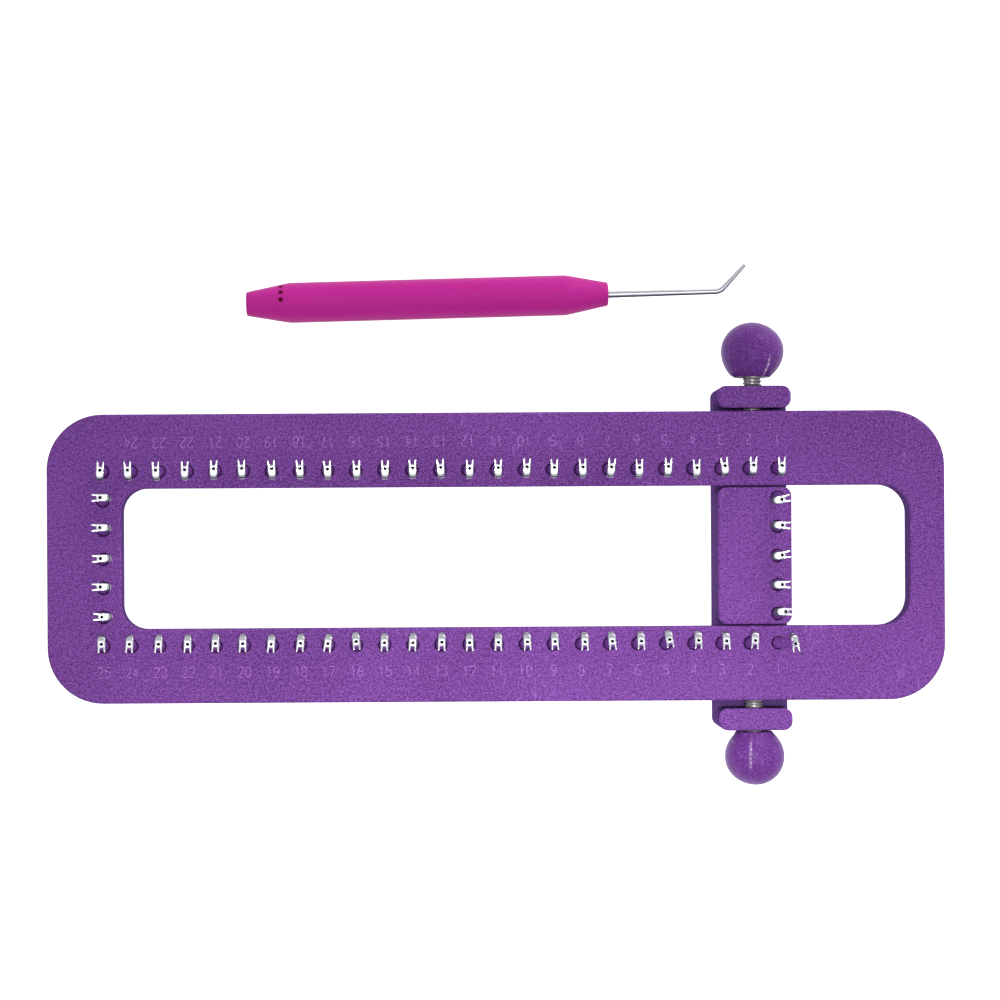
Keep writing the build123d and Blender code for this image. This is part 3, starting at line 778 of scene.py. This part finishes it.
def ball_shape(node, side, girth, seam_turn, seam_reach, sink, seed, rows=120, columns=144):
    """A ball as a grid from its far pole to its flat and into its socket, and the wear at each
    point. Radius = girth times (1 + soft lumps + a narrow ridge where the seam's plane cuts
    it, as far along as the seam reaches - a round sink mark)."""
    low, high = (np.array(corner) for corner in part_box(node))
    radius = (high[0] - low[0]) / 2
    centre = (low + high) / 2
    centre[1] = high[1] - radius if side > 0 else low[1] + radius
    flat = (centre[1] - low[1] if side > 0 else high[1] - centre[1]) / radius
    noise = np.random.default_rng(seed)
    polar = np.linspace(0.001, math.acos(-flat), rows)[:, None]
    around = np.linspace(0, 2 * np.pi, columns, endpoint=False)[None, :]
    # unit direction: y runs out along the screw, x and z across it
    y = np.cos(polar) + 0 * around
    x, z = np.sin(polar) * np.cos(around), np.sin(polar) * np.sin(around)
    swell = 0 * y
    for _ in range(7):
        way = noise.normal(size=3)
        way /= np.linalg.norm(way)
        wave = noise.uniform(2.0, 4.5)
        swell += LUMP * np.cos(wave * (x * way[0] + y * way[1] + z * way[2]) + noise.uniform(0, 6))
    across_seam = x * math.cos(seam_turn) + z * math.sin(seam_turn)
    reached = np.exp(-((y - seam_reach[0]) / seam_reach[1]) ** 4) * (z > 0)
    ragged = np.clip(0.65 + 0.55 * np.sin(23 * y) * np.cos(17 * y + 1.0), 0, 1)
    seam = np.exp(-(across_seam / SEAM_HALF) ** 2) * ragged * reached
    dish = sink * SINK * np.exp(-((x - 0.05) ** 2 + (y - 0.1) ** 2) / 0.06) * (z > 0)
    reach = radius * girth * (1 + swell + RIDGE * seam - dish)
    fade = np.clip((math.acos(-flat) - polar) / 0.15, 0, 1)
    reach = radius * (1 - fade) + reach * fade
    skin = np.stack([x * reach, y * reach, z * reach], -1)
    rim = math.sqrt(1 - flat ** 2) * radius
    bore = THREAD_MAJOR * 1.03
    socket = []
    for ring, inset in ((rim * 0.97, 0.0), (bore * 1.15, 0.0), (bore, 0.02), (bore, 0.3)):
        socket.append(np.stack([ring * np.cos(around[0]), np.full(columns, (inset - flat) * radius),
                                ring * np.sin(around[0])], -1))
    points = np.concatenate([skin, np.array(socket)])
    points[..., 1] *= side
    wear_and_shade = np.concatenate([seam.ravel(), np.zeros(len(socket) * columns + 2)])
    return grid_shape(points + centre), wear_and_shade


rod_low, rod_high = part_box("rear_threaded_rod")
THREAD_MAJOR = (rod_high[0] - rod_low[0]) / 2
# row, side, girth, seam's angle, where along the axis it shows and how far, sink mark, seed
BALLS = (("rear", 1, 1.025, -0.46, (-0.45, 0.3), 1.0, 3),
         ("front", -1, 0.972, 0.28, (-0.1, 0.4), 0.0, 8))
for row, side, girth, seam_turn, seam_reach, sink, seed in BALLS:
    node = f"{row}_ball_knob"
    shape, wear_and_shade = ball_shape(node, side, girth, seam_turn, seam_reach, sink, seed)
    ball = make_piece(f"{row}_cast_ball", shape, KNOB_PURPLE, f"{row}_knob", (node,))
    mark(ball, "wear_and_shade", wear_and_shade)

# %% [markdown]
# ## The pick
# The grip is a turned barrel with three small dimples pressed into its shoulder. Its shaft is
# drawn wire that thins towards the bend and again towards a blunt tip. Both are built along
# their own axis and then laid behind the loom at the slight angle of the CAD grip.

# %% Lay out the pick's own axis
GRIP_LENGTH, GRIP_RADIUS = 124.7 * MM, 6.9 * MM
GRIP_BACK, GRIP_NOSE = 4.1 * MM, 4.0 * MM
GRIP_ROUND = 0.4 * MM
BACK_TAPER, NOSE_TAPER = 14.9 * MM, 14.6 * MM
DIMPLE_AT, DIMPLE_RADIUS, DIMPLE_DEEP = 12.1 * MM, 0.85 * MM, 1.0 * MM
DIMPLE_TURNS = np.radians([4.6, 30.2, 55.8])    # from straight up towards the rear
DIMPLE_MARGIN, DIMPLE_GRID = 1.2 * MM, 0.1 * MM
CORNER_ROUND = 1.0 * MM
BEND_ANGLE = math.radians(45.5)
grip_low, grip_high = (np.array(corner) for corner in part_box("pick_handle"))
PICK_TURN = math.radians(1.25)
PICK_START = np.array([
    grip_low[0] + GRIP_BACK * math.sin(PICK_TURN),
    grip_high[1] - GRIP_RADIUS * math.cos(PICK_TURN) - (GRIP_LENGTH - NOSE_TAPER) * math.sin(PICK_TURN),
    GRIP_RADIUS,
])
PICK_FRAME = turn("z", PICK_TURN)
print("pick starts at", PICK_START.round(4))


# %% Turn the grip
def grip_shape():
    """The skin and how deep in a dimple each point is. Radius along the barrel comes from a
    rounded profile; round each dimple's centre it drops by a steep bowl of the distance over
    the skin, and both rows and columns are closer together there."""
    profile = rounded([
        (0.0, GRIP_BACK), (BACK_TAPER, GRIP_RADIUS), (GRIP_LENGTH - NOSE_TAPER, GRIP_RADIUS),
        (GRIP_LENGTH, GRIP_NOSE),
    ], CORNER_ROUND, 7)
    fine = np.arange(DIMPLE_AT - DIMPLE_MARGIN, DIMPLE_AT + DIMPLE_MARGIN, DIMPLE_GRID)
    along = np.linspace(GRIP_ROUND, GRIP_LENGTH - GRIP_ROUND, 110)
    along = np.unique(np.concatenate([along, fine]))
    radius = np.interp(along, profile[:, 0], profile[:, 1])
    aims = np.pi / 2 - DIMPLE_TURNS
    near = np.arange(aims.min() - 0.18, aims.max() + 0.18, 0.017)
    far = np.linspace(near[-1], near[0] + 2 * np.pi, 64)[1:-1]
    around = np.concatenate([near, far])
    bowl = np.zeros((len(along), len(around)))
    for aim in aims:
        over = np.angle(np.exp(1j * (around - aim))) * radius[:, None]
        away = np.hypot(along[:, None] - DIMPLE_AT, over) / DIMPLE_RADIUS
        bowl += np.clip(1.0 - away ** 6, 0.0, 1.0) ** 0.5
    skin = radius[:, None] - DIMPLE_DEEP * bowl
    # each end is a quarter round from its flat face to the barrel
    quarter = np.linspace(0, np.pi / 2, 6)[:-1]
    inset, drop = GRIP_ROUND * (1 - np.cos(quarter)), GRIP_ROUND * (1 - np.sin(quarter))
    xs = np.concatenate([inset, along, GRIP_LENGTH - inset[::-1]])
    back, nose = (GRIP_BACK - drop)[:, None], (GRIP_NOSE - drop[::-1])[:, None]
    rs = np.vstack([back + 0 * around, skin, nose + 0 * around])
    points = np.stack([xs[:, None] + 0 * rs, rs * np.cos(around), rs * np.sin(around)], -1)
    ends = np.zeros((len(quarter), len(around)))
    return grid_shape(points), np.append(np.vstack([ends, bowl, ends]).ravel(), [0.0, 0.0])


grip, dimple = grip_shape()
handle = make_piece("turned_grip", moved(grip, PICK_FRAME, PICK_START), GRIP, "pick",
                    ("pick_handle",))
mark(handle, "dimple", dimple)


# %% Draw the shaft
SHAFT_ROOT, SHAFT_BEND, SHAFT_TIP = 1.3 * MM, 1.05 * MM, 0.65 * MM
SHAFT_STRAIGHT, BEND_RADIUS, TIP_LENGTH, SHAFT_SEAT = 37.1 * MM, 4.0 * MM, 11.2 * MM, 6.0 * MM
# painted dark reflection bands along the wire: where each lies across the shaft, from -1 at one
# side to 1, its half-width and its depth
DARK_REFLECTION_BANDS = ((-0.82, 0.32, 1.0), (0.1, 0.16, 0.9), (0.97, 0.12, 0.55))
SHAFT_COLUMNS = 72
TIP_CLOSES = 0.6 * MM          # length over which the tip rounds off


def shaft_shape():
    """A circle swept along straight, arc and straight, and the painted dark reflection on each
    point. The radius falls evenly to the bend and again to the tip, where it closes as the square
    root of what is left of the length. A band is a smooth bump across the shaft, seen from above."""
    straight = np.linspace(GRIP_LENGTH - SHAFT_SEAT, GRIP_LENGTH + SHAFT_STRAIGHT, 40)
    bend = np.linspace(0, BEND_ANGLE, 14)[1:]
    tip = np.linspace(0, 1, 24)[1:] ** 0.6 * TIP_LENGTH
    elbow_x, elbow_y = BEND_RADIUS * np.sin(bend), BEND_RADIUS * (1 - np.cos(bend))
    turn_x = GRIP_LENGTH + SHAFT_STRAIGHT
    path = np.vstack([
        np.column_stack([straight, 0 * straight]),
        np.column_stack([turn_x + elbow_x, elbow_y]),
        np.column_stack([turn_x + elbow_x[-1] + tip * math.cos(BEND_ANGLE),
                         elbow_y[-1] + tip * math.sin(BEND_ANGLE)]),
    ])
    thinning = np.interp(straight, [GRIP_LENGTH, turn_x], [SHAFT_ROOT, SHAFT_BEND])
    closing = np.sqrt(np.clip((TIP_LENGTH - tip) / TIP_CLOSES, 0.02, 1.0))
    tip_radius = (SHAFT_BEND + (SHAFT_TIP - SHAFT_BEND) * tip / TIP_LENGTH) * closing
    radius = np.concatenate([thinning, np.full(len(bend), SHAFT_BEND), tip_radius])
    centre = np.column_stack([path, np.zeros(len(path))])
    across = np.cos(np.linspace(0, 2 * np.pi, SHAFT_COLUMNS, endpoint=False))
    # painted dark reflection bands, placed by where a point lies across the shaft seen from above
    scale = sum(deep * np.exp(-((across - at) / wide) ** 4) for at, wide, deep in DARK_REFLECTION_BANDS)
    scale = np.append(np.tile(scale, len(path)), [0.5, 0.5])
    return grid_shape(tube_along(centre, radius, radius, SHAFT_COLUMNS, 1.0)), scale


shaft, scale = shaft_shape()
wire = make_piece("drawn_shaft", moved(shaft, PICK_FRAME, PICK_START), PICK_STEEL, "pick",
                  ("pick_shaft",))
mark(wire, "scale", scale)

# %% [markdown]
# ## Setting
# The set lies on a sheet of glowing white acrylic, as small goods are shot for a catalogue:
# the sheet hides the shadows and lights the side walls from below. A wide sheet of light hangs
# over everything and gives the steel something pale to mirror, a soft spot brightens the
# front rail, a strip grazes the set from the rear, and the room round it is pale.

# %% Floor, lights and camera
VIEW_HEIGHT = 0.70             # camera above the deck
VIEW_WIDTH = 0.339             # width seen at the deck
SENSOR = 36.0
NADIR_SHIFT = 0.080            # how far the view's middle stands right of the lens, in widths
REAR_SHIFT = 0.043             # how far it stands to the rear of the lens, in widths
CAMERA_X = 0.0014 - NADIR_SHIFT * VIEW_WIDTH
CAMERA_Y = CENTRE_Y + 0.0049
ROLL = math.radians(-0.33)
FLOOR_DROP = 0.0002            # keeps the sheet clear of what stands on it


def make_floor():
    """A round pale sheet, wide enough for every view."""
    turn_round = np.linspace(0, 2 * math.pi, 65)[:-1]
    radii = np.array([0.0005, 0.4, 3.0])
    x = radii[:, None] * np.cos(turn_round)
    y = radii[:, None] * np.sin(turn_round)
    points, faces = grid_shape(np.stack([x, y, np.full_like(x, -FLOOR_DROP)], -1), caps=(True, False))
    mesh = bpy.data.meshes.new("floor")
    mesh.from_pydata(points.tolist(), [], faces)
    finish = Finish("glowing_sheet", Roughness=0.9, Specular_IOR_Level=0.1, Emission_Strength=0.95)
    finish.paint(Base_Color=finish.blend(finish.noise(3.0), (0.6, 0.6, 0.6), (0.66, 0.66, 0.66)))
    finish.shader.inputs["Emission Color"].default_value = (1.0, 1.0, 1.0, 1.0)
    mesh.materials.append(finish.material)
    floor = bpy.data.objects.new("floor", mesh)
    bpy.context.scene.collection.objects.link(floor)


def hang(name, data, place):
    """An object that carries this light or camera, at its place."""
    holder = bpy.data.objects.new(name, data)
    holder.location = place
    bpy.context.scene.collection.objects.link(holder)
    return holder


def area_light(name, place, aim, size, watts):
    """A square soft light at a place, turned towards a point."""
    data = bpy.data.lights.new(name, "AREA")
    data.shape = "SQUARE"
    data.size = size
    data.energy = watts
    direction = Vector(aim) - Vector(place)
    hang(name, data, place).rotation_euler = direction.to_track_quat("-Z", "Y").to_euler()


def spot_light(name, place, watts, degrees, softness, stretch):
    """A spot that shines straight down and fades to its edge, its circle stretched along X."""
    data = bpy.data.lights.new(name, "SPOT")
    data.energy = watts
    data.spot_size = math.radians(degrees)
    data.spot_blend = 1.0
    data.shadow_soft_size = softness
    hang(name, data, place).scale = (stretch, 1.0, 1.0)


def pale_room(colour, strength):
    """Even light from all round."""
    world = bpy.data.worlds.new("studio")
    bpy.context.scene.world = world
    world.use_nodes = True
    background = world.node_tree.nodes["Background"]
    background.inputs["Color"].default_value = (*colour, 1.0)
    background.inputs["Strength"].default_value = strength


make_floor()
area_light("overhead_sheet", (0, CENTRE_Y, 0.95), (0, CENTRE_Y, 0), size=0.9, watts=2.3)
area_light("rear_strip", (0.45, 0.6, 0.3), (0.05, 0.03, 0), size=0.4, watts=2.6)
spot_light("front_spot", (0.01, CENTRE_Y - 0.06, 0.9), watts=28.0, degrees=14.0, softness=0.09,
           stretch=2.4)
pale_room((0.92, 0.95, 1.0), 0.64)

camera_data = bpy.data.cameras.new("view")
camera_data.sensor_width = SENSOR
camera_data.lens = SENSOR * VIEW_HEIGHT / VIEW_WIDTH
camera_data.shift_x = NADIR_SHIFT
camera_data.shift_y = REAR_SHIFT
camera = hang("view", camera_data, (CAMERA_X, CAMERA_Y, DECK + VIEW_HEIGHT))
camera.rotation_euler = (0.0, 0.0, ROLL)
bpy.context.scene.camera = camera
bpy.context.scene.view_settings.view_transform = "Standard"
print("lens", round(camera_data.lens, 2), "mm")
